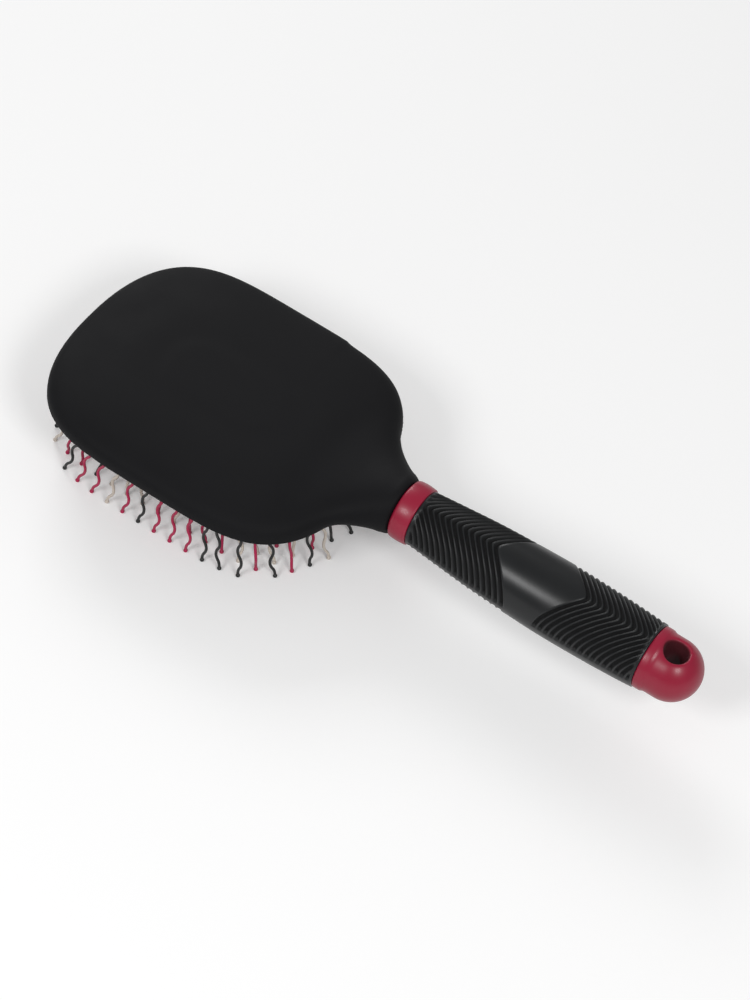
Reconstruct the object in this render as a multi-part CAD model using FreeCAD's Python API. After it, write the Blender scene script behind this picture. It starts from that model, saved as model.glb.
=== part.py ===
import FreeCAD, Part
import math
import os

from FreeCAD import Rotation, Vector

# Detangling paddle brush in millimetres. It lies with its back up on the tips of its pins:
# +X runs along the handle to the end cap, +Y across the paddle and +Z up.
# The origin is on the plane of the pin tips, under the middle of the overall length.

# Paddle, seen from above: a rounded outline whose half length and half width are named
head_half_length = 56.4
head_half_width = 45.7
head_end_exponent = 4.15
head_side_exponent = 2.35
rim_height = 25.0
rim_band = 2.6
rim_edge_round = 0.8
shell_wall = 2.6
back_rise = 8.0
back_exponent = 3

# Neck between the paddle and the collar
neck_radius = 10.0
neck_length = 13.5
neck_overlap = 16.5
neck_flare_width = 30.0
neck_slim_height = 5.0
neck_raise = 1.6
axis_above_rim = 3.3

# Cushion seat: ledge inside the shell, retaining frame and rubber pad
ledge_width = 2.2
pad_thickness = 1.5
pad_crown = 1.9
pad_flange_thickness = 1.4
frame_width = 1.8
frame_depth = 2.6
frame_lip = 0.5
vent_radius = 0.9
vent_from_rear = 12.0

# Pins: straight root, a double wave and a ball tip
pin_radius = 0.5
pin_ball_radius = 0.75
pin_head_radius = 1.3
pin_head_thickness = 0.8
pin_head_gap = 0.5
pin_bend_radius = 4.6
pin_bend_angle = 32.0
pin_tail = 1.0
pin_pitch = 5.6
file_pitch = 6.3
file_count = 13
file_gap_least = 3.4
pin_end_margin = 7.8
pin_side_margin = 7.4
pin_field_shift = -1.2
pin_end_fan = 16.0
pin_side_fan = 6.0
pin_turn_step = 137.5

# Handle: collar, core, rubber grip and end cap
collar_length = 6.8
collar_swell = 0.4
grip_length = 86.1
grip_start_radius = 9.6
grip_belly_radius = 12.55
grip_end_radius = 11.35
grip_wall = 2.0
core_wall = 1.5
core_spigot_radius = 7.1
core_spigot_length = 9.0
cap_skirt_length = 3.2
cap_skirt_radius = 11.0
cap_bulb_radius = 10.5
cap_bulb_setback = 4.8
cap_plug_length = 8.0
cap_plug_wall = 1.6
hang_hole_radius = 4.1
hang_hole_round = 0.8

# Clearances: seated parts, pins in the pad and moving parts
seat_gap = 0.05
pin_gap = 0.05
overrun = 1.0

# Points on each smooth closed curve
outline_steps = 48
neck_steps = 24
halvings = 40

# Belly of the grip, as shares of its length and of its swell above the two ends
grip_station_shares = (0.12, 0.28, 0.46, 0.62, 0.8, 0.93)
grip_swell_shares = (0.25, 0.61, 0.86, 1.0, 0.81, 0.4)
# Neck sections, as shares of the neck's run, of its flare and of its drop in height
neck_station_shares = (0.0, 0.2, 0.333, 0.467, 0.607, 0.75, 0.88, 1.0)
neck_flare_shares = (1.0, 0.82, 0.65, 0.44, 0.275, 0.155, 0.068, 0.0)
neck_slim_shares = (1.0, 0.93, 0.82, 0.66, 0.45, 0.23, 0.07, 0.0)
# Rings of the paddle's back, as shares of its half width, from its edge to its flat middle
back_inset_shares = (0.0, 0.006, 0.022, 0.055, 0.11, 0.2, 0.36, 0.56, 0.76)
# Rings of the pad's crown, as shares of its half width and of its crown
crown_inset_shares = (0.0, 0.1, 0.25, 0.45, 0.7)
crown_rise_shares = (0.0, 0.3, 0.62, 0.88, 1.0)
# Colours of the pins along each file, from the front of the paddle to the neck
pin_colour_rows = (
    "KRRCRKRRRKKK", "CRRKCCCRCRRRCRK", "KCRKRCKRRKCRKCCR", "CKRRKCKRCKRKRCRCK", "RKCKRRCKRCKRKCRKRC",
    "KRCRKCRKRCRKCKRCK", "CKRKRCKRCKRRKCRKRK", "RCKRCRKKRCKRCKRRC", "KRKCRRKCRKCRCKRKCR", "CRRKCKRCKRKCRRKCK",
    "RKCRKRCKRRCKKCRK", "KRCKRRKCKRRKCRK", "RKCRRKCKRCKR",
)
colour_names = {"K": "black", "R": "raspberry", "C": "clear"}
# Turns of the waves along the first file: towards the front, towards the neck or outwards
first_file_turns = "NFFFNFFNFNON"
turn_angles = {"F": 180.0, "N": 0.0, "O": 270.0}

# Places worked out from the sizes above, along the handle from the paddle-to-collar seam
head_centre = -(neck_length + head_half_length)
paddle_front = head_centre - head_half_length
cap_seam = collar_length + grip_length
bulb_centre = cap_seam + cap_skirt_length + cap_bulb_setback
cap_end = bulb_centre + cap_bulb_radius
middle = (paddle_front + cap_end) / 2
axis_height = rim_height + axis_above_rim
shoulder_height = rim_height + rim_band
frame_bottom = rim_height - frame_lip
flange_bottom = frame_bottom + frame_depth
ledge_bottom = flange_bottom + pad_flange_thickness
pad_edge_height = frame_bottom
frame_inset = shell_wall + frame_width
pin_half_length = head_half_length - pin_end_margin
pin_half_width = head_half_width - pin_side_margin
pin_field_centre = head_centre - middle + pin_field_shift

axis_point = Vector(-middle, 0, axis_height)
along = Vector(1, 0, 0)
up = Vector(0, 0, 1)


def outline_point(inset, angle, height):
    """A point of the paddle's rounded outline, drawn in by inset from its edge."""
    half_length = head_half_length - inset
    half_width = head_half_width - inset
    near, far = 0.0, half_length + half_width
    for halving in range(halvings):
        reach = (near + far) / 2
        endwise = abs(reach * math.cos(angle) / half_length) ** head_end_exponent
        across = abs(reach * math.sin(angle) / half_width) ** head_side_exponent
        if endwise + across < 1:
            near = reach
        else:
            far = reach
    x = head_centre - middle + reach * math.cos(angle)
    return Vector(x, reach * math.sin(angle), height)


def outline_wire(inset, height):
    turns = [2 * math.pi * step / outline_steps for step in range(outline_steps)]
    points = [outline_point(inset, turn, height) for turn in turns]
    curve = Part.BSplineCurve()
    curve.interpolate(Points=points, PeriodicFlag=True)
    return Part.Wire([curve.toShape()])


def outline_slab(inset, bottom, top):
    face = Part.Face(outline_wire(inset, bottom))
    return face.extrude(up * (top - bottom))


def ring_slab(outer_inset, inner_inset, bottom, top):
    inner = outline_slab(inner_inset, bottom - overrun, top + overrun)
    return outline_slab(outer_inset, bottom, top).cut(inner)


def handle_tube(start, end, radius, bore=0.0):
    """A plain cylinder on the handle's axis, hollow where a bore is given."""
    base = axis_point + along * start
    body = Part.makeCylinder(radius, end - start, base, along)
    if bore > 0:
        hollow = Part.makeCylinder(bore, end - start + 2 * overrun, base - along * overrun, along)
        body = body.cut(hollow)
    return body


def largest_solid(shape):
    return max(shape.Solids, key=lambda solid: solid.Volume)


# Paddle shell with its neck

def crown_loft(inset, edge_height, rise, inset_shares, rise_shares):
    """A shallow crown over the outline, from its edge ring to its flat middle."""
    rings = []
    for inset_share, rise_share in zip(inset_shares, rise_shares):
        ring_inset = inset + inset_share * (head_half_width - inset)
        rings.append(outline_wire(ring_inset, edge_height + rise * rise_share))
    return Part.makeLoft(rings, True, False)


def back_height(inset):
    """Height of the domed back at a distance in from the paddle's edge."""
    share = 1 - inset / head_half_width
    return shoulder_height + back_rise * (1 - share ** back_exponent) ** (1 / back_exponent)


def back_dome(first_inset, drop):
    """The dome of the back from a ring inwards, lowered by drop for the vault inside it."""
    rings = []
    for share in back_inset_shares:
        inset = first_inset + share * (head_half_width - first_inset)
        rings.append(outline_wire(inset, back_height(inset) - drop))
    return Part.makeLoft(rings, True, False)


def back_body():
    """The paddle's outer body: a low band round the rim under a domed back."""
    girth_height = rim_height + rim_edge_round
    band = outline_slab(0.0, girth_height, shoulder_height)
    lowest_ring = outline_wire(rim_edge_round, rim_height)
    rim = Part.makeLoft([lowest_ring, outline_wire(0.0, girth_height)], True, True)
    return band.fuse([rim, back_dome(0.0, 0.0)])


def neck_body():
    """The flared neck: elliptic sections from inside the paddle to the round collar seat."""
    run = neck_length + neck_overlap
    sections = []
    for place, flare, slim in zip(neck_station_shares, neck_flare_shares, neck_slim_shares):
        centre = axis_point - along * (run * (1 - place)) + up * (neck_raise * flare)
        half_width = neck_radius + neck_flare_width * flare
        half_height = neck_radius - neck_slim_height * slim
        points = []
        for step in range(neck_steps):
            angle = 2 * math.pi * step / neck_steps
            points.append(centre + Vector(0, half_width * math.cos(angle), half_height * math.sin(angle)))
        curve = Part.BSplineCurve()
        curve.interpolate(Points=points, PeriodicFlag=True)
        sections.append(Part.Wire([curve.toShape()]))
    return Part.makeLoft(sections, True, False)


def paddle_shell():
    body = back_body().fuse(neck_body())
    lowest = axis_height - neck_radius - overrun
    throat_inset = shell_wall + ledge_width
    chamber = outline_slab(shell_wall, lowest, ledge_bottom)
    throat = outline_slab(throat_inset, lowest, back_height(throat_inset) - shell_wall)
    vault = back_dome(throat_inset, shell_wall)
    socket = handle_tube(-core_spigot_length - seat_gap, overrun, core_spigot_radius + seat_gap)
    return largest_solid(body.cut([chamber, throat, vault, socket]))


# Cushion frame and rubber pad

def cushion_frame():
    return ring_slab(shell_wall + seat_gap, frame_inset, frame_bottom, flange_bottom)


def pad_height(x, y):
    """Height of the pad's outer face at a point, read from the rings of its crown."""
    from_centre = x - (head_centre - middle)
    edge = outline_point(frame_inset + seat_gap, math.atan2(y, from_centre), 0)
    full_reach = math.hypot(edge.x - (head_centre - middle), edge.y)
    inward = 1 - math.hypot(from_centre, y) / full_reach
    rings = list(zip(crown_inset_shares, crown_rise_shares))
    for (outer, outer_rise), (inner, inner_rise) in zip(rings, rings[1:]):
        if inward <= inner:
            share = (inward - outer) / (inner - outer)
            return pad_edge_height - pad_crown * (outer_rise + share * (inner_rise - outer_rise))
    return pad_edge_height - pad_crown


def cushion_pad(pins):
    """The rubber pad: flange, collar through the frame and a hollow crown with pin holes."""
    inset = frame_inset + seat_gap
    room = inset + pad_thickness
    inner_edge = pad_edge_height + pad_thickness
    collar = outline_slab(inset, pad_edge_height, ledge_bottom)
    flange = outline_slab(shell_wall + seat_gap, flange_bottom, ledge_bottom)
    crown = crown_loft(inset, pad_edge_height, -pad_crown, crown_inset_shares, crown_rise_shares)
    hollow = outline_slab(room, inner_edge, ledge_bottom + overrun)
    crown_room = crown_loft(room, inner_edge, -pad_crown, crown_inset_shares, crown_rise_shares)
    rear = head_centre - middle + head_half_length - vent_from_rear
    vent = Part.makeCylinder(vent_radius, rim_height, Vector(rear, 0, rim_height / 2), up)
    body = collar.fuse([flange, crown]).cut([hollow, crown_room, vent])
    return largest_solid(body.cut(Part.makeCompound([pin["hole"] for pin in pins])))


# Pins

def wave_path():
    """The pin's centre line from its tip up: a tail, then arcs that meet on common tangents."""
    bend = math.radians(pin_bend_angle)
    place = Vector(0, 0, pin_tail)
    edges = [Part.makeLine(Vector(0, 0, 0), place)]
    slope = 0.0
    for target in (bend, -bend, bend, -bend, 0.0):
        turn = 1 if target > slope else -1
        centre = place + Vector(math.cos(slope), 0, -math.sin(slope)) * (turn * pin_bend_radius)
        middle_slope = (slope + target) / 2

        def on_arc(angle):
            return centre - Vector(math.cos(angle), 0, -math.sin(angle)) * (turn * pin_bend_radius)

        end = on_arc(target)
        edges.append(Part.Arc(place, on_arc(middle_slope), end).toShape())
        place = end
        slope = target
    return edges, place


def wave_body():
    edges, top = wave_path()
    path = Part.Wire(edges)
    ring = Part.Wire([Part.makeCircle(pin_radius, Vector(0, 0, 0), up)])
    tube = path.makePipeShell([ring], True, False)
    ball = Part.makeSphere(pin_ball_radius, Vector(0, 0, 0))
    return tube.fuse(ball), top


def pin_solid(wave, top, foot, tip, turn):
    """One pin: its head lies on the pad's inner face at foot and its ball is centred at tip."""
    length = (foot - tip).Length
    root = Part.makeCylinder(pin_radius, length - top.z, top, up)
    head_base = Vector(top.x, top.y, length)
    head = Part.makeCylinder(pin_head_radius, pin_head_thickness, head_base, up)
    body = wave.fuse([root, head])
    body.Placement = FreeCAD.Placement(Vector(0, 0, 0), Rotation(up, turn))
    aim = FreeCAD.Placement(tip, Rotation(up, foot - tip))
    return largest_solid(body.transformed(aim.toMatrix() * body.Placement.toMatrix()))


def file_line(index, x):
    """Place across the paddle of one file of pins, bowed like the outline the nearer it lies."""
    y = (index - (file_count - 1) / 2) * file_pitch
    share = min(abs(y) / pin_half_width, 1.0)
    endwise = min(abs(x) / pin_half_length, 1.0) ** head_end_exponent
    return y * (1 - endwise) ** (share ** 4 / head_side_exponent)


def file_places(index):
    """Places of one file's pins from the middle of their field, staggered from file to file."""
    inner = index + (1 if index < (file_count - 1) / 2 else -1)
    offset = 0.5 if index % 2 == 0 else 0.0
    steps = int(pin_half_length / pin_pitch) + 1
    places = []
    for step in range(-steps, steps + 1):
        x = (step + offset) * pin_pitch
        y = file_line(index, x)
        endwise = abs(x / pin_half_length) ** head_end_exponent
        inside = endwise + abs(y / pin_half_width) ** head_side_exponent
        gap = abs(y - file_line(inner, x))
        if inside < 1 and (gap > file_gap_least or index * 2 == file_count - 1):
            places.append((x, y))
    return places


def pin_turn(index, step):
    if index == 0:
        return turn_angles[first_file_turns[step % len(first_file_turns)]]
    return pin_turn_step * (index * file_count + step)


def make_pins(index, wave, wave_top):
    """All pins of one file, each with its colour, its solid and its hole through the pad."""
    pins = []
    for step, (x, y) in enumerate(file_places(index)):
        height = pad_height(pin_field_centre + x, y)
        place = Vector(pin_field_centre + x, y, height + pad_thickness / 2)
        drop = place.z - pin_ball_radius
        lean_x = math.radians(pin_end_fan * x / pin_half_length)
        lean_y = math.radians(pin_side_fan * y / pin_half_width)
        tip = Vector(place.x + drop * math.tan(lean_x), y + drop * math.tan(lean_y), pin_ball_radius)
        rise = (place - tip) * ((pad_thickness / 2 + pin_head_gap) / drop)
        foot = place + rise
        reach = (place - tip) * ((pad_thickness + overrun) / drop)
        axis = reach * 2
        colour = pin_colour_rows[index % len(pin_colour_rows)]
        pins.append({
            "colour": colour_names[colour[step % len(colour)]],
            "solid": pin_solid(wave, wave_top, foot, tip, pin_turn(index, step)),
            "hole": Part.makeCylinder(pin_radius + pin_gap, axis.Length, place - reach, axis),
        })
    return pins


# Handle: collar, core, grip and end cap

def grip_radius_points():
    """Stations and radii of the grip's outer face, from the collar to the cap."""
    points = [(0.0, grip_start_radius)]
    for place, swell in zip(grip_station_shares, grip_swell_shares):
        base = grip_start_radius + (grip_end_radius - grip_start_radius) * place
        points.append((place * grip_length, base + (grip_belly_radius - base) * swell))
    points.append((grip_length, grip_end_radius))
    return points


def turned_body(points):
    """A solid of revolution on the handle's axis under a smooth line of (place, radius)."""
    line = [axis_point + along * place + up * radius for place, radius in points]
    curve = Part.BSplineCurve()
    curve.interpolate(Points=line)
    first = axis_point + along * points[0][0]
    last = axis_point + along * points[-1][0]
    edges = [curve.toShape(), Part.makeLine(line[-1], last), Part.makeLine(last, first)]
    edges.append(Part.makeLine(first, line[0]))
    return Part.Face(Part.Wire(edges)).revolve(axis_point, along, 360)


def grip_line(drawn_in):
    return [(collar_length + place, radius - drawn_in) for place, radius in grip_radius_points()]


def collar_ring():
    half = collar_length / 2
    points = [(0.0, neck_radius), (half, neck_radius + collar_swell), (collar_length, neck_radius)]
    bore = handle_tube(-overrun, collar_length + overrun, core_spigot_radius + seat_gap)
    return turned_body(points).cut(bore)


def handle_core():
    """The hollow barrel under the grip, with its spigot through the collar into the neck."""
    barrel = turned_body(grip_line(grip_wall))
    bore = turned_body(grip_line(grip_wall + core_wall))
    spigot_bore = core_spigot_radius - core_wall
    spigot = handle_tube(-core_spigot_length, collar_length, core_spigot_radius)
    passage = handle_tube(-core_spigot_length - overrun, collar_length + overrun, spigot_bore)
    return largest_solid(barrel.fuse(spigot).cut([bore, passage]))


def grip_sleeve():
    return turned_body(grip_line(0.0)).cut(turned_body(grip_line(grip_wall - seat_gap)))


def end_cap():
    """Skirt and round bulb with the hang hole through it, and a plug into the core."""
    skirt_end = cap_seam + cap_skirt_length
    plug_radius = grip_end_radius - grip_wall - core_wall - seat_gap
    skirt = handle_tube(cap_seam, skirt_end, cap_skirt_radius)
    waist = handle_tube(skirt_end, bulb_centre, cap_bulb_radius)
    bulb = Part.makeSphere(cap_bulb_radius, axis_point + along * bulb_centre)
    plug = handle_tube(cap_seam - cap_plug_length, cap_seam, plug_radius, plug_radius - cap_plug_wall)
    body = skirt.fuse([waist, bulb, plug])
    hole_base = axis_point + along * bulb_centre - up * (cap_bulb_radius + overrun)
    hole = Part.makeCylinder(hang_hole_radius, 2 * (cap_bulb_radius + overrun), hole_base, up)
    body = body.cut(hole)
    rims = [edge for edge in body.Edges if is_hole_rim(edge)]
    return largest_solid(body.makeFillet(hang_hole_round, rims))


def is_hole_rim(edge):
    """True for the edges round both mouths of the hang hole."""
    centre = axis_point + along * bulb_centre
    points = edge.discretize(5)
    off_wall = [abs(math.hypot(point.x - centre.x, point.y) - hang_hole_radius) for point in points]
    above_middle = [abs(point.z - centre.z) for point in points]
    return max(off_wall) < seat_gap and min(above_middle) > cap_bulb_radius / 2


def write_part(name, shape):
    shape.exportStep(os.path.join("parts", name + ".step"))


def main():
    os.makedirs("parts", exist_ok=True)
    wave, wave_top = wave_body()
    all_pins = []
    for index in range(file_count):
        pins = make_pins(index, wave, wave_top)
        all_pins.extend(pins)
        for colour in colour_names.values():
            solids = [pin["solid"] for pin in pins if pin["colour"] == colour]
            if solids:
                write_part("pin_row_%02d_%s" % (index + 1, colour), Part.makeCompound(solids))
    write_part("paddle_shell", paddle_shell())
    write_part("cushion_frame", cushion_frame())
    write_part("cushion_pad", cushion_pad(all_pins))
    write_part("collar_ring", collar_ring())
    write_part("handle_core", handle_core())
    write_part("grip_sleeve", grip_sleeve())
    write_part("end_cap", end_cap())


main()
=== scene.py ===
import math

import bmesh
import bpy
from mathutils import Matrix, Vector


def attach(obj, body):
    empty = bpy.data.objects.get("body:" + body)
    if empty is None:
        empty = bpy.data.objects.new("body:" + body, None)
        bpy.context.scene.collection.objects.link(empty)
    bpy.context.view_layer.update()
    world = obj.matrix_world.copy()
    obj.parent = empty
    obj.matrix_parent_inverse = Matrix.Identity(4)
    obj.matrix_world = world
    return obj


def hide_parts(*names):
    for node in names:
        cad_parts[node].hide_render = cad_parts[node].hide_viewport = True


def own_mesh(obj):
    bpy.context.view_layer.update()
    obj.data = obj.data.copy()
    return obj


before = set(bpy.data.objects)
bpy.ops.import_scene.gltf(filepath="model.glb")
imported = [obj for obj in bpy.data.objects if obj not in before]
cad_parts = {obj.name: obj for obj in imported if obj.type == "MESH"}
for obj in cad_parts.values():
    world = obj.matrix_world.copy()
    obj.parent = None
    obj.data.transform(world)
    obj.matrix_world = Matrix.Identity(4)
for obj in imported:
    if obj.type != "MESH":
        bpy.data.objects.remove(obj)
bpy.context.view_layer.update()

mm = 0.001
# The seam between paddle and collar along the handle, and the height of the handle's axis
seam = 7.45
handle_height = 28.3
handle_axis_z = handle_height * mm
head_centre = seam - 69.9
rim_height = 25.0


# camera, at the angle from which the brush was photographed
camera_turn = math.radians(25)
camera_rise = math.radians(52)
camera_roll = math.radians(11.013)
camera_distance = 1.0
camera_target = Vector((seam, 0.0, handle_height)) * mm
camera_shift_right = 9.27 * mm
camera_shift_up = -2.362 * mm
camera_lens = 149.39
camera_sensor = 36
camera_near = 0.01
camera_far = 20


def place_camera():
    """Sets up the camera; returns the directions towards it, to the picture's right and to its top."""
    flat = math.cos(camera_rise)
    back = Vector((flat * math.sin(camera_turn), -flat * math.cos(camera_turn), math.sin(camera_rise)))
    level = Vector((math.cos(camera_turn), math.sin(camera_turn), 0.0))
    upright = back.cross(level)
    right = level * math.cos(camera_roll) + upright * math.sin(camera_roll)
    up = upright * math.cos(camera_roll) - level * math.sin(camera_roll)
    place = camera_target + back * camera_distance - right * camera_shift_right - up * camera_shift_up
    data = bpy.data.cameras.new("photo_camera")
    data.sensor_fit = "HORIZONTAL"
    data.sensor_width = camera_sensor
    data.lens = camera_lens
    data.clip_start = camera_near
    data.clip_end = camera_far
    camera = bpy.data.objects.new("photo_camera", data)
    turn = Matrix((right, up, back)).transposed().to_4x4()
    camera.matrix_world = Matrix.Translation(place) @ turn
    bpy.context.scene.collection.objects.link(camera)
    bpy.context.scene.camera = camera
    return back, right, up


toward_camera, image_right, image_up = place_camera()


# node helpers
def paint(red, green, blue):
    """A colour given as 0 to 255 screen values, as the shader's linear values."""
    def linear(value):
        share = value / 255
        return share / 12.92 if share <= 0.04045 else ((share + 0.055) / 1.055) ** 2.4
    return (linear(red), linear(green), linear(blue), 1.0)


def add_node(tree, kind, **settings):
    node = tree.nodes.new(kind)
    for name, value in settings.items():
        setattr(node, name, value)
    return node


def link(tree, source, target):
    tree.links.new(source, target)


def group_shell(name, inputs, outputs):
    """An empty node group with float inputs and outputs, and its two end nodes."""
    group = bpy.data.node_groups.new(name, "ShaderNodeTree")
    for label, kind, value in inputs:
        socket = group.interface.new_socket(label, in_out="INPUT", socket_type=kind)
        if value is not None:
            socket.default_value = value
    for label, kind in outputs:
        group.interface.new_socket(label, in_out="OUTPUT", socket_type=kind)
    return group, add_node(group, "NodeGroupInput"), add_node(group, "NodeGroupOutput")


def make_grain_group():
    """Fine moulded grain: Height for a bump, and Tone, a slow cloudiness from 0 to 1."""
    group, start, end = group_shell(
        "moulded_grain",
        [
            ("Place", "NodeSocketVector", None),
            ("Fine Scale", "NodeSocketFloat", 2500.0),
            ("Cloud Scale", "NodeSocketFloat", 60.0),
        ],
        [("Height", "NodeSocketFloat"), ("Tone", "NodeSocketFloat")],
    )
    fine = add_node(group, "ShaderNodeTexNoise")
    fine.inputs["Detail"].default_value = 3.0
    fine.inputs["Roughness"].default_value = 0.6
    cloud = add_node(group, "ShaderNodeTexNoise")
    cloud.inputs["Detail"].default_value = 4.0
    cloud.inputs["Roughness"].default_value = 0.55
    for texture, scale in ((fine, "Fine Scale"), (cloud, "Cloud Scale")):
        link(group, start.outputs["Place"], texture.inputs["Vector"])
        link(group, start.outputs[scale], texture.inputs["Scale"])
    spread = add_node(group, "ShaderNodeMapRange", interpolation_type="SMOOTHSTEP")
    spread.inputs["From Min"].default_value = 0.3
    spread.inputs["From Max"].default_value = 0.7
    link(group, cloud.outputs["Fac"], spread.inputs["Value"])
    link(group, fine.outputs["Fac"], end.inputs["Height"])
    link(group, spread.outputs["Result"], end.inputs["Tone"])
    return group


def make_wear_group():
    """Edge: where the shape turns sharply outwards, broken up by noise, from 0 to 1."""
    group, start, end = group_shell(
        "handling_wear",
        [
            ("Place", "NodeSocketVector", None),
            ("Edge From", "NodeSocketFloat", 0.52),
            ("Edge To", "NodeSocketFloat", 0.62),
        ],
        [("Edge", "NodeSocketFloat")],
    )
    shape = add_node(group, "ShaderNodeNewGeometry")
    edge = add_node(group, "ShaderNodeMapRange")
    link(group, shape.outputs["Pointiness"], edge.inputs["Value"])
    link(group, start.outputs["Edge From"], edge.inputs["From Min"])
    link(group, start.outputs["Edge To"], edge.inputs["From Max"])
    broken = add_node(group, "ShaderNodeTexNoise")
    broken.inputs["Scale"].default_value = 220.0
    broken.inputs["Detail"].default_value = 5.0
    link(group, start.outputs["Place"], broken.inputs["Vector"])
    both = add_node(group, "ShaderNodeMath", operation="MULTIPLY", use_clamp=True)
    link(group, edge.outputs["Result"], both.inputs[0])
    link(group, broken.outputs["Fac"], both.inputs[1])
    link(group, both.outputs["Value"], end.inputs["Edge"])
    return group


grain_group = make_grain_group()
wear_group = make_wear_group()
# Colour share kept under the painted shade in a groove or a hole, and roughness there
painted_shade_share = 0.25
deep_roughness = 0.95


def surface(
    name, plain, clouded, worn, roughness, grain,
    specular=0.5, coat=0.0, coat_roughness=0.1, wear=0.6, attribute=None,
):
    """A moulded plastic or rubber: colour clouded a little, edges worn, roughness varied, a fine grain.

    grain is the fine scale, the cloud scale and the bump in mm. Where the attribute is 1, the colour is
    darkened by painted shade and the finish dull.
    """
    made = bpy.data.materials.new(name)
    made.use_nodes = True
    tree = made.node_tree
    shader = tree.nodes["Principled BSDF"]
    place = add_node(tree, "ShaderNodeTexCoord")
    grains = add_node(tree, "ShaderNodeGroup")
    grains.node_tree = grain_group
    grains.inputs["Fine Scale"].default_value = grain[0]
    grains.inputs["Cloud Scale"].default_value = grain[1]
    wears = add_node(tree, "ShaderNodeGroup")
    wears.node_tree = wear_group
    for group in (grains, wears):
        link(tree, place.outputs["Object"], group.inputs["Place"])
    body = add_node(tree, "ShaderNodeMix", data_type="RGBA")
    body.inputs[6].default_value = plain
    body.inputs[7].default_value = clouded
    link(tree, grains.outputs["Tone"], body.inputs[0])
    edge_share = add_node(tree, "ShaderNodeMath", operation="MULTIPLY")
    edge_share.inputs[1].default_value = wear
    link(tree, wears.outputs["Edge"], edge_share.inputs[0])
    colour = add_node(tree, "ShaderNodeMix", data_type="RGBA")
    colour.inputs[7].default_value = worn
    link(tree, edge_share.outputs["Value"], colour.inputs[0])
    link(tree, body.outputs[2], colour.inputs[6])
    finished = colour.outputs[2]
    # Painted shade: where the attribute is 1, the colour is darkened to a quarter of the plain colour
    if attribute:
        painted_shade_mask = add_node(tree, "ShaderNodeAttribute", attribute_name=attribute)
        painted_shade_colour = add_node(tree, "ShaderNodeMix", data_type="RGBA")
        painted_shade_colour.inputs[7].default_value = tuple(part * painted_shade_share for part in plain[:3]) + (1.0,)
        link(tree, painted_shade_mask.outputs["Fac"], painted_shade_colour.inputs[0])
        link(tree, finished, painted_shade_colour.inputs[6])
        finished = painted_shade_colour.outputs[2]
    link(tree, finished, shader.inputs["Base Color"])
    rough = add_node(tree, "ShaderNodeMapRange")
    rough.inputs["To Min"].default_value = roughness[0]
    rough.inputs["To Max"].default_value = roughness[1]
    link(tree, grains.outputs["Tone"], rough.inputs["Value"])
    roughened = rough.outputs["Result"]
    if attribute:
        dull = add_node(tree, "ShaderNodeMix", data_type="FLOAT")
        dull.inputs[3].default_value = deep_roughness
        link(tree, painted_shade_mask.outputs["Fac"], dull.inputs[0])
        link(tree, roughened, dull.inputs[2])
        roughened = dull.outputs[0]
    link(tree, roughened, shader.inputs["Roughness"])
    bump = add_node(tree, "ShaderNodeBump")
    bump.inputs["Strength"].default_value = 1.0
    bump.inputs["Distance"].default_value = grain[2] * mm
    link(tree, grains.outputs["Height"], bump.inputs["Height"])
    link(tree, bump.outputs["Normal"], shader.inputs["Normal"])
    shader.inputs["Specular IOR Level"].default_value = specular
    shader.inputs["Coat Weight"].default_value = coat
    shader.inputs["Coat Roughness"].default_value = coat_roughness
    return made


soft_touch = surface(
    "soft_touch_black", paint(20, 20, 22), paint(23, 23, 25), paint(40, 40, 42),
    (0.6, 0.68), (2600, 45, 0.006), specular=0.12, wear=0.3,
)
frame_black = surface(
    "frame_black", paint(24, 24, 26), paint(28, 28, 30), paint(60, 60, 62),
    (0.3, 0.38), (1800, 70, 0.01),
)
pad_rubber = surface(
    "pad_rubber", paint(30, 29, 31), paint(38, 37, 39), paint(60, 58, 60),
    (0.55, 0.7), (1500, 60, 0.02), specular=0.3, wear=0.3,
)
# The grip's grooves are darkened by painted shade through the attribute
grip_rubber = surface(
    "grip_rubber", paint(15, 17, 19), paint(19, 21, 23), paint(70, 72, 74),
    (0.31, 0.37), (2200, 50, 0.006), specular=0.48, wear=0.6, attribute="painted_shade",
)
# The cap's hang hole is darkened by painted shade through the attribute
raspberry = surface(
    "raspberry_plastic", paint(148, 8, 46), paint(156, 12, 52), paint(192, 60, 96),
    (0.34, 0.4), (1400, 35, 0.003),
    specular=0.5, coat=0.12, coat_roughness=0.14, wear=0.3, attribute="painted_shade",
)
core_plastic = surface(
    "core_plastic", paint(40, 40, 42), paint(48, 48, 50), paint(80, 80, 80),
    (0.45, 0.55), (1800, 70, 0.01),
)
pin_black = surface(
    "pin_black", paint(26, 28, 28), paint(34, 36, 36), paint(60, 60, 60),
    (0.3, 0.4), (3000, 150, 0.004), wear=0.0,
)
pin_raspberry = surface(
    "pin_raspberry", paint(172, 22, 70), paint(182, 28, 80), paint(200, 80, 110),
    (0.28, 0.36), (3000, 150, 0.004), wear=0.0,
)
pin_clear = surface(
    "pin_clear", paint(222, 211, 198), paint(232, 222, 210), paint(240, 234, 226),
    (0.3, 0.4), (3000, 150, 0.004), wear=0.0,
)
pin_clear.node_tree.nodes["Principled BSDF"].inputs["Transmission Weight"].default_value = 0.2


def dress(node, made):
    """Gives a node of the frame its material."""
    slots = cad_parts[node].data.materials
    if len(slots) == 0:
        slots.append(made)
    for index in range(len(slots)):
        slots[index] = made


def add_piece(name, bm, made, body, replaced):
    """Turns a finished bmesh into a piece of the brush."""
    mesh = bpy.data.meshes.new(name)
    bm.to_mesh(mesh)
    bm.free()
    for face in mesh.polygons:
        face.use_smooth = True
    mesh.materials.append(made)
    piece = bpy.data.objects.new(name, mesh)
    bpy.context.scene.collection.objects.link(piece)
    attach(piece, body)
    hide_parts(replaced)
    return piece


# grip sleeve with its two fields of chevron grooves
collar_length = 6.8
grip_first = seam + collar_length
grip_last = grip_first + 86.1
grip_inner = 7.7
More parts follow.
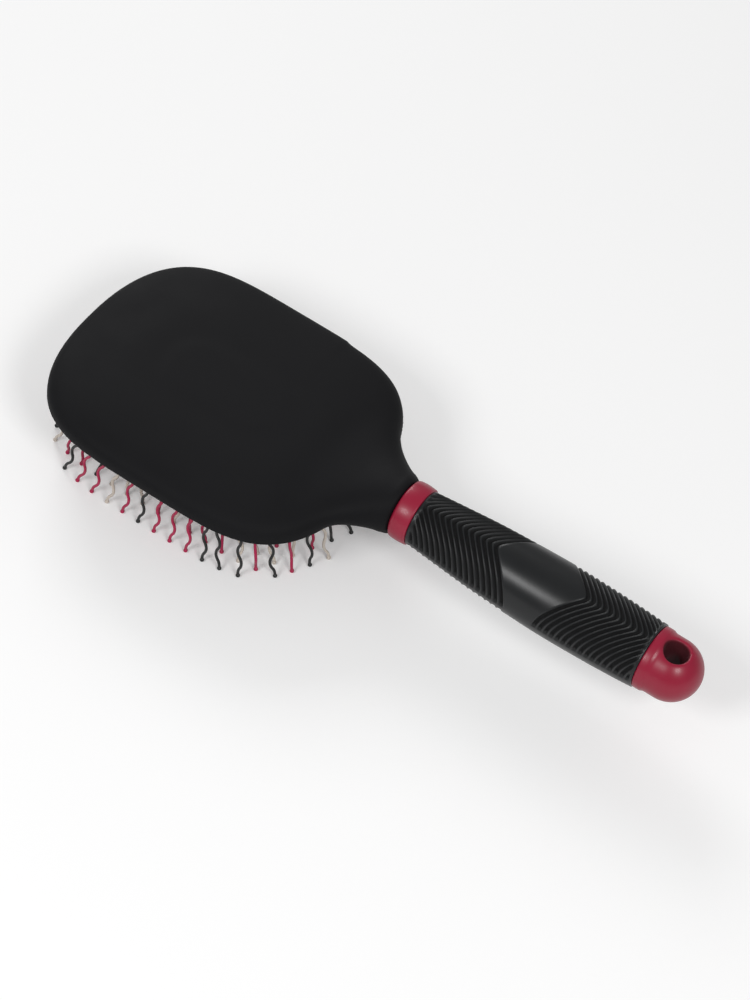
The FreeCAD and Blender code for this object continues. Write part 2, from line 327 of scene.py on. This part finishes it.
# Radius of the grip by its share of the length
grip_profile = [
    (0.0, 9.6), (0.12, 10.5), (0.28, 11.59), (0.46, 12.25),
    (0.62, 12.55), (0.8, 12.26), (0.93, 11.76), (1.0, 11.35),
]
grip_turn = math.radians(-10.5)
groove_depth = 1.15
head_groove_place = seam + 34.95
head_groove_pitch = 2.25
head_groove_slope = 0.93
cap_groove_place = seam + 68.85
cap_groove_pitch = 2.13
cap_groove_slope = 1.04
groove_rows = 8
panel_rows = 34
grip_columns = 168
# How far the grid runs past the grip's ends before it is cut off there
head_overrun = 12.5
cap_overrun = 14.0
chevron_radius = 12.0
chevron_tip = 0.1
# Angles from the tip line, in degrees, at which the plain strips along the sides begin and end
head_strip = (84, 89, 101, 106)
cap_strip = (83, 88, 119, 124)
head_band = grip_first + 1.2
cap_band = grip_last - 1.0


def smooth_step(low, high, value):
    """0 up to low, 1 from high on, and an even rise between them."""
    share = min(1.0, max(0.0, (value - low) / (high - low)))
    return share * share * (3 - 2 * share)


def smooth_line(points, place):
    """The height of a smooth line through points (place, height) at a place."""
    last = len(points) - 2
    index = 0
    while index < last and place > points[index + 1][0]:
        index += 1
    (x0, y0), (x1, y1) = points[index], points[index + 1]

    def lean(i):
        if i == 0 or i == len(points) - 1:
            j = 0 if i == 0 else len(points) - 2
            return (points[j + 1][1] - points[j][1]) / (points[j + 1][0] - points[j][0])
        return (points[i + 1][1] - points[i - 1][1]) / (points[i + 1][0] - points[i - 1][0])

    span = x1 - x0
    t = (place - x0) / span
    a, b = lean(index) * span, lean(index + 1) * span
    from_start = (2 * t**3 - 3 * t**2 + 1) * y0 + (t**3 - 2 * t**2 + t) * a
    return from_start + (3 * t**2 - 2 * t**3) * y1 + (t**3 - t**2) * b


def grip_radius(place):
    """Radius over the ridges at a place along the handle."""
    share = (place - grip_first) / (grip_last - grip_first)
    return smooth_line(grip_profile, min(1.0, max(0.0, share)))


def arm_reach(angle, slope):
    """How far along the handle a chevron's arm has run at an angle from its rounded tip."""
    return slope * chevron_radius * (math.sqrt(math.sin(angle) ** 2 + chevron_tip**2) - chevron_tip)


def groove_cut(share):
    """Depth of one groove across its pitch, share from -0.5 to 0.5."""
    return 1.0 - smooth_step(0.06, 0.47, abs(share))


def grip_rows():
    """Rows of the grip's grid: field, place on the tip line and cut.

    The field is -1 on the head's side, 1 on the cap's side and 0 on the panel between.
    """
    rows = []
    step = head_groove_pitch / groove_rows
    first = head_groove_place - math.ceil((head_groove_place - grip_first + head_overrun) / step) * step
    count = round((head_groove_place - first) / step)
    for index in range(count + groove_rows // 2 + 1):
        place = first + index * step
        share = (place - head_groove_place) / head_groove_pitch
        cut = groove_cut(share - round(share)) if share < 0.5 else 0.0
        rows.append((-1, place, cut))
    for index in range(1, panel_rows):
        rows.append((0, index / panel_rows, 0.0))
    step = cap_groove_pitch / groove_rows
    rows_to_cap = math.ceil((grip_last - cap_groove_place + cap_overrun) / step)
    for index in range(-groove_rows // 2, rows_to_cap):
        share = index / groove_rows
        cut = groove_cut(share - round(share)) if share > -0.5 else 0.0
        rows.append((1, cap_groove_place + index * step, cut))
    return rows


def strip_share(strip, side):
    """1 in the middle of a plain strip, 0 away from it."""
    return smooth_step(strip[0], strip[1], side) * (1 - smooth_step(strip[2], strip[3], side))


def grip_point(row, angle, last_head, first_cap):
    """Place along the handle and groove depth at a row and an angle from the tip line."""
    field, place, cut = row
    side = math.degrees(abs(math.remainder(angle, 2 * math.pi)))
    head_place = (place if field < 0 else last_head) + arm_reach(angle, head_groove_slope)
    cap_place = (place if field > 0 else first_cap) - arm_reach(angle, cap_groove_slope)
    if field < 0:
        reach = 1 - strip_share(head_strip, side)
        return head_place, cut * reach * smooth_step(head_band - 0.5, head_band + 0.6, head_place)
    if field > 0:
        reach = 1 - strip_share(cap_strip, side)
        return cap_place, cut * reach * (1 - smooth_step(cap_band - 0.6, cap_band + 0.5, cap_place))
    return head_place * (1 - place) + cap_place * place, 0.0


def build_grip():
    """The rubber sleeve: a grid wrapped round the handle, cut off at both ends and closed over its bore."""
    rows = grip_rows()
    last_head = max(place for field, place, cut in rows if field < 0)
    first_cap = min(place for field, place, cut in rows if field > 0)
    bm = bmesh.new()
    bmesh.ops.create_grid(bm, x_segments=grip_columns, y_segments=len(rows) - 1, size=0.5)
    painted_shade = bm.verts.layers.float.new("painted_shade")
    for vert in bm.verts:
        angle = (vert.co.x + 0.5) * 2 * math.pi - math.pi
        row = rows[round((vert.co.y + 0.5) * (len(rows) - 1))]
        place, cut = grip_point(row, angle, last_head, first_cap)
        radius = grip_radius(place) - cut * groove_depth
        turned = angle + grip_turn
        # The groove's cut also sets the painted shade that darkens the groove's colour
        vert[painted_shade] = cut
        across = radius * math.sin(turned) * mm
        vert.co = Vector((place * mm, across, handle_axis_z + radius * math.cos(turned) * mm))
    bmesh.ops.remove_doubles(bm, verts=bm.verts, dist=1e-7)
    for place, outward in ((grip_first, -1), (grip_last, 1)):
        everything = bm.verts[:] + bm.edges[:] + bm.faces[:]
        bmesh.ops.bisect_plane(
            bm, geom=everything, dist=1e-6,
            plane_co=(place * mm, 0, 0), plane_no=(outward, 0, 0), clear_outer=True,
        )
    loops = []
    for place in (grip_first, grip_last):
        open_edges = [e for e in bm.edges if e.is_boundary]
        rim = [e for e in open_edges if all(abs(v.co.x - place * mm) < 1e-5 for v in e.verts)]
        made = bmesh.ops.extrude_edge_only(bm, edges=rim)["geom"]
        for vert in (v for v in made if isinstance(v, bmesh.types.BMVert)):
            out = Vector((0, vert.co.y, vert.co.z - handle_axis_z)).normalized() * grip_inner * mm
            vert.co.y = out.y
            vert.co.z = handle_axis_z + out.z
        loops += [e for e in made if isinstance(e, bmesh.types.BMEdge) and e.is_boundary]
    bmesh.ops.bridge_loops(bm, edges=loops)
    bmesh.ops.recalc_face_normals(bm, faces=bm.faces)
    add_piece("grip_rubber_sleeve", bm, grip_rubber, "handle_and_paddle", "grip_sleeve")


# paddle shell: an even mesh of its solid, with the neck blended into the domed back
def copied_shape(node):
    """A solid's mesh in the frame, its seams merged."""
    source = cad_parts[node]
    bm = bmesh.new()
    bm.from_mesh(source.data)
    bmesh.ops.transform(bm, matrix=source.matrix_world, verts=bm.verts)
    bmesh.ops.remove_doubles(bm, verts=bm.verts, dist=1e-6)
    return bm


def evenly_meshed(bm, size):
    """The same shape as an even grid of small faces."""
    mesh = bpy.data.meshes.new("form")
    bm.to_mesh(mesh)
    bm.free()
    form = bpy.data.objects.new("form", mesh)
    bpy.context.scene.collection.objects.link(form)
    grid = form.modifiers.new("even_grid", "REMESH")
    grid.mode = "VOXEL"
    grid.voxel_size = size
    form_now = form.evaluated_get(bpy.context.evaluated_depsgraph_get())
    even = bmesh.new()
    even.from_mesh(form_now.to_mesh())
    form_now.to_mesh_clear()
    bpy.data.objects.remove(form)
    bpy.data.meshes.remove(mesh)
    return even


smoothing_share = 0.5


def smooth(bm, verts, times):
    for _ in range(times):
        bmesh.ops.smooth_vert(
            bm, verts=verts, factor=smoothing_share, use_axis_x=True, use_axis_y=True, use_axis_z=True
        )


# Places along the handle, from the head to the collar
blend_first = seam - 52
neck_first = seam - 15
head_end = seam - 14
blend_last = seam - 3
paddle_mesh_size = 0.7


def faces_out(vert):
    """True on the paddle's outside, False in its chamber and in the handle's socket."""
    in_head = vert.co.x < head_end * mm
    heart = Vector((head_centre * mm if in_head else vert.co.x, 0, handle_axis_z))
    return vert.normal.dot(vert.co - heart) > 0


def build_paddle():
    """The paddle: its back smoothed, most of all where the neck grows out of it."""
    bm = evenly_meshed(copied_shape("paddle_shell"), paddle_mesh_size * mm)
    smooth(bm, bm.verts, 3)
    bm.normal_update()
    outside = [v for v in bm.verts if faces_out(v) and v.co.z > (rim_height + 1.5) * mm]
    smooth(bm, outside, 10)
    near_neck = [v for v in bm.verts if faces_out(v) and blend_first * mm < v.co.x < blend_last * mm]
    blended = [v for v in near_neck if v.co.z > (rim_height + 1.0) * mm or v.co.x > neck_first * mm]
    smooth(bm, blended, 60)
    bmesh.ops.recalc_face_normals(bm, faces=bm.faces)
    add_piece(
        "paddle_shell_soft_touch", bm, soft_touch, "handle_and_paddle", "paddle_shell"
    )


# collar: glossy ring with rounded edges and a narrow shadow gap towards the paddle
collar_steps = 128


def turned_piece(name, profile, steps, made, replaced):
    """A ring turned on the handle's axis from a closed line of (place from the seam, radius)."""
    bm = bmesh.new()
    verts = []
    for place, radius in profile:
        verts.append(bm.verts.new(((seam + place) * mm, 0, handle_axis_z + radius * mm)))
    edges = [bm.edges.new((a, b)) for a, b in zip(verts, verts[1:] + verts[:1])]
    bmesh.ops.spin(
        bm, geom=verts + edges, cent=(0, 0, handle_axis_z), axis=(1, 0, 0), dvec=(0, 0, 0),
        angle=2 * math.pi, steps=steps, use_merge=True,
    )
    bmesh.ops.recalc_face_normals(bm, faces=bm.faces)
    add_piece(name, bm, made, "handle_and_paddle", replaced)


def build_collar():
    """A closed line round the collar's section: shadow gap, rounded edge, swell, rounded edge, bore."""
    profile = [(0.0, 7.2), (0.0, 9.2), (0.3, 9.3), (0.34, 9.75)]
    profile += [(0.34 + 0.5 * (1 - math.cos(t)), 9.68 + 0.5 * math.sin(t)) for t in (0.3, 0.6, 0.9, 1.2)]
    for index in range(13):
        place = 0.95 + index * 0.42
        profile.append((place, 10.4 - 0.19 * ((place - 3.4) / 2.6) ** 2))
    profile += [(6.68 - 0.5 * (1 - math.sin(t)), 9.7 + 0.5 * math.cos(t)) for t in (0.3, 0.65, 1.0, 1.35)]
    profile += [(6.7, 9.55), (6.7, 7.2)]
    turned_piece("collar_ring_glossy", profile, collar_steps, raspberry, "collar_ring")


# rubber pad: crowned membrane with a low boss round the root of every pin
pad_edge = 24.5
pad_crown = 1.9
pad_top = 28.5
pad_inset = 4.45
pad_wall = 1.5
pad_boss = 0.45
boss_cell = 3
pad_angles = 360
pad_rings = 52
pad_inner_rings = 18
flange_inset = 2.65
flange_base = 27.1
head_half_length = 56.4
head_half_width = 45.7
head_end_exponent = 4.15
head_side_exponent = 2.35
crown_places = [(0.0, 0.0), (0.1, 0.3), (0.25, 0.62), (0.45, 0.88), (0.7, 1.0), (1.0, 1.0)]
pin_half_length = 48.6
pin_half_width = 38.3
pin_field_shift = -1.2
pin_pitch = 5.6
pin_file_pitch = 6.3
pin_files = 13
pin_steps = 9
pin_least_gap = 3.4
outline_halvings = 34


def outline_reach(inset, angle):
    """Distance from the paddle's middle to its outline, drawn in by inset, at an angle."""
    low, high = 0.0, 120.0
    for _ in range(outline_halvings):
        reach = (low + high) / 2
        endwise = abs(reach * math.cos(angle) / (head_half_length - inset)) ** head_end_exponent
        share = endwise + abs(reach * math.sin(angle) / (head_half_width - inset)) ** head_side_exponent
        if share < 1:
            low = reach
        else:
            high = reach
    return low


def pin_line(index, x):
    """Place across the paddle of one file of pins."""
    y = (index - (pin_files - 1) / 2) * pin_file_pitch
    share = min(abs(y) / pin_half_width, 1.0)
    endwise = min(abs(x) / pin_half_length, 1.0) ** head_end_exponent
    return y * (1 - endwise) ** (share ** 4 / head_side_exponent)


def pin_places():
    """Roots of all pins, from the middle of the paddle."""
    places = []
    for index in range(pin_files):
        inner = index + (1 if index < (pin_files - 1) / 2 else -1)
        offset = 0.5 if index % 2 == 0 else 0.0
        for step in range(-pin_steps, pin_steps + 1):
            x = (step + offset) * pin_pitch
            y = pin_line(index, x)
            endwise = abs(x / pin_half_length) ** head_end_exponent
            inside = endwise + abs(y / pin_half_width) ** head_side_exponent
            gap = abs(y - pin_line(inner, x))
            if inside < 1 and (gap > pin_least_gap or index * 2 == pin_files - 1):
                places.append((x + pin_field_shift, y))
    return places


def build_pad():
    """Rings from the crown's middle outwards, up and over the flange, and back inside to the middle."""
    roots = pin_places()
    cells = {}
    for x, y in roots:
        for i in range(-1, 2):
            for j in range(-1, 2):
                cell = (math.floor(x / boss_cell) + i, math.floor(y / boss_cell) + j)
                cells.setdefault(cell, []).append((x, y))

    def crown(inward):
        return pad_crown * smooth_line(crown_places, inward)

    def boss(x, y):
        rise = 0.0
        for px, py in cells.get((math.floor(x / boss_cell), math.floor(y / boss_cell)), ()):
            away = math.hypot(x - px, y - py)
            rise = max(rise, pad_boss * (1 - smooth_step(0.7, 1.7, away)))
        return rise

    angles = [2 * math.pi * step / pad_angles for step in range(pad_angles)]
    reach = [outline_reach(pad_inset, angle) for angle in angles]
    flange_reach = [outline_reach(flange_inset, angle) for angle in angles]
    rings = []
    for step in range(1, pad_rings + 1):
        share = step / pad_rings
        rings.append([(r * share, pad_edge - crown(1 - share)) for r in reach])
    outer = len(rings)
    rings[-1] = [(r - 0.15, pad_edge + 0.05) for r in reach]
    rings.append([(r, pad_edge + 0.35) for r in reach])
    rings.append([(r, flange_base) for r in reach])
    rings.append([(r, flange_base) for r in flange_reach])
    rings.append([(r, pad_top) for r in flange_reach])
    rings.append([(r - pad_wall, pad_top) for r in reach])
    rings.append([(r - pad_wall, pad_edge + pad_wall) for r in reach])
    for step in range(pad_inner_rings - 1, 0, -1):
        share = step / pad_inner_rings
        rings.append([((r - pad_wall) * share, pad_edge + pad_wall - crown(1 - share)) for r in reach])
    bm = bmesh.new()
    bmesh.ops.create_grid(bm, x_segments=pad_angles, y_segments=len(rings) - 1, size=0.5)
    for vert in bm.verts:
        column = round((vert.co.x + 0.5) * pad_angles) % pad_angles
        row = round((vert.co.y + 0.5) * (len(rings) - 1))
        distance, z = rings[row][column]
        x, y = distance * math.cos(angles[column]), distance * math.sin(angles[column])
        if row < outer:
            z -= boss(x, y)
        vert.co = Vector(((head_centre + x) * mm, y * mm, z * mm))
    bmesh.ops.remove_doubles(bm, verts=bm.verts, dist=1e-7)
    ends = [e for e in bm.edges if e.is_boundary]
    bmesh.ops.holes_fill(bm, edges=ends, sides=0)
    bmesh.ops.triangulate(bm, faces=[f for f in bm.faces if len(f.verts) > 4])
    bmesh.ops.recalc_face_normals(bm, faces=bm.faces)
    pad = add_piece("cushion_pad_rubber", bm, pad_rubber, "handle_and_paddle", "cushion_pad")
    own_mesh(pad)


# cap: its own shape, softened
hang_hole_place = 108.35
hang_hole_radius = 4.1
hang_hole_lip = 0.65
cap_mesh_size = 0.35


def build_cap():
    """The cap's own shape with its hard edges eased and its hang hole in shade."""
    bm = evenly_meshed(copied_shape("end_cap"), cap_mesh_size * mm)
    smooth(bm, bm.verts, 8)
    # Painted shade inside the hang hole, fading out over its lip
    shade = bm.verts.layers.float.new("painted_shade")
    for vert in bm.verts:
        away = math.hypot(vert.co.x / mm - hang_hole_place, vert.co.y / mm)
        vert[shade] = 1 - smooth_step(hang_hole_radius, hang_hole_radius + hang_hole_lip, away)
    bmesh.ops.recalc_face_normals(bm, faces=bm.faces)
    add_piece("end_cap_glossy", bm, raspberry, "handle_and_paddle", "end_cap")


build_grip()
build_paddle()
build_collar()
build_cap()
build_pad()

dress("cushion_frame", frame_black)
dress("handle_core", core_plastic)
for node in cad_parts:
    for ending, made in (("_black", pin_black), ("_raspberry", pin_raspberry), ("_clear", pin_clear)):
        if node.startswith("pin_row") and node.endswith(ending):
            dress(node, made)


# floor, world and lamps
floor_colour = 0.88
floor_lift = 0.18
far_floor_lift = 0.62
# Distances in metres over which the floor grows paler
near_floor = 0.3
far_floor = 1.8
floor_half_size = 4.0
backdrop_level = 0.92


def build_floor():
    """A plain pale floor that keeps the brush's shadow."""
    bm = bmesh.new()
    bmesh.ops.create_grid(bm, x_segments=4, y_segments=4, size=floor_half_size)
    mesh = bpy.data.meshes.new("floor")
    bm.to_mesh(mesh)
    bm.free()
    floor = bpy.data.objects.new("floor", mesh)
    bpy.context.scene.collection.objects.link(floor)
    made = bpy.data.materials.new("floor")
    made.use_nodes = True
    tree = made.node_tree
    shader = tree.nodes["Principled BSDF"]
    shader.inputs["Base Color"].default_value = (floor_colour, floor_colour, floor_colour, 1.0)
    shader.inputs["Roughness"].default_value = 0.9
    shader.inputs["Specular IOR Level"].default_value = 0.1
    rays = add_node(tree, "ShaderNodeLightPath")
    place = add_node(tree, "ShaderNodeTexCoord")
    away = add_node(tree, "ShaderNodeVectorMath", operation="LENGTH")
    link(tree, place.outputs["Object"], away.inputs[0])
    farther = add_node(tree, "ShaderNodeMapRange", interpolation_type="SMOOTHSTEP")
    farther.inputs["From Min"].default_value = near_floor
    farther.inputs["From Max"].default_value = far_floor
    farther.inputs["To Min"].default_value = floor_lift
    farther.inputs["To Max"].default_value = far_floor_lift
    link(tree, away.outputs["Value"], farther.inputs["Value"])
    lift = add_node(tree, "ShaderNodeMath", operation="MULTIPLY")
    link(tree, rays.outputs["Is Camera Ray"], lift.inputs[0])
    link(tree, farther.outputs["Result"], lift.inputs[1])
    link(tree, lift.outputs["Value"], shader.inputs["Emission Strength"])
    shader.inputs["Emission Color"].default_value = (1.0, 1.0, 1.0, 1.0)
    mesh.materials.append(made)


def light_world(strength):
    """Even light from all sides, and a pale backdrop where the camera sees past the floor."""
    world = bpy.data.worlds.new("studio")
    world.use_nodes = True
    tree = world.node_tree
    back = tree.nodes["Background"]
    back.inputs["Color"].default_value = (1.0, 1.0, 1.0, 1.0)
    rays = add_node(tree, "ShaderNodeLightPath")
    seen = add_node(tree, "ShaderNodeMath", operation="MAXIMUM")
    link(tree, rays.outputs["Is Camera Ray"], seen.inputs[0])
    link(tree, rays.outputs["Is Transmission Ray"], seen.inputs[1])
    level = add_node(tree, "ShaderNodeMapRange")
    level.inputs["To Min"].default_value = strength
    level.inputs["To Max"].default_value = backdrop_level
    link(tree, seen.outputs["Value"], level.inputs["Value"])
    link(tree, level.outputs["Result"], back.inputs["Strength"])
    bpy.context.scene.world = world


def add_lamp(name, place, target, size, power):
    """A softbox at a place, turned to its target."""
    data = bpy.data.lights.new(name, "AREA")
    data.shape = "RECTANGLE"
    data.size, data.size_y = size
    data.energy = power
    lamp = bpy.data.objects.new(name, data)
    turn = (place - target).to_track_quat("Z", "Y").to_matrix().to_4x4()
    lamp.matrix_world = Matrix.Translation(place) @ turn
    bpy.context.scene.collection.objects.link(lamp)


build_floor()
light_world(0.33)
brush_middle = Vector((0.0, 0.0, 0.03))
grip_middle = Vector((0.06, 0.0, 0.03))
cap_lamp_offset = toward_camera * 1.15 + image_right * 0.45 - image_up * 0.1
grip_lamp_offset = Vector((-0.3, -0.74, 0.72))
back_lamp_offset = Vector((-0.9, 0.8, 0.7))
add_lamp("cap_softbox", brush_middle + cap_lamp_offset, brush_middle, (0.35, 0.35), 4.5)
add_lamp("grip_softbox", grip_middle + grip_lamp_offset, grip_middle, (0.3, 0.3), 3.2)
add_lamp("back_softbox", brush_middle + back_lamp_offset, brush_middle, (0.7, 0.5), 6.0)

bpy.context.scene.view_settings.view_transform = "Standard"
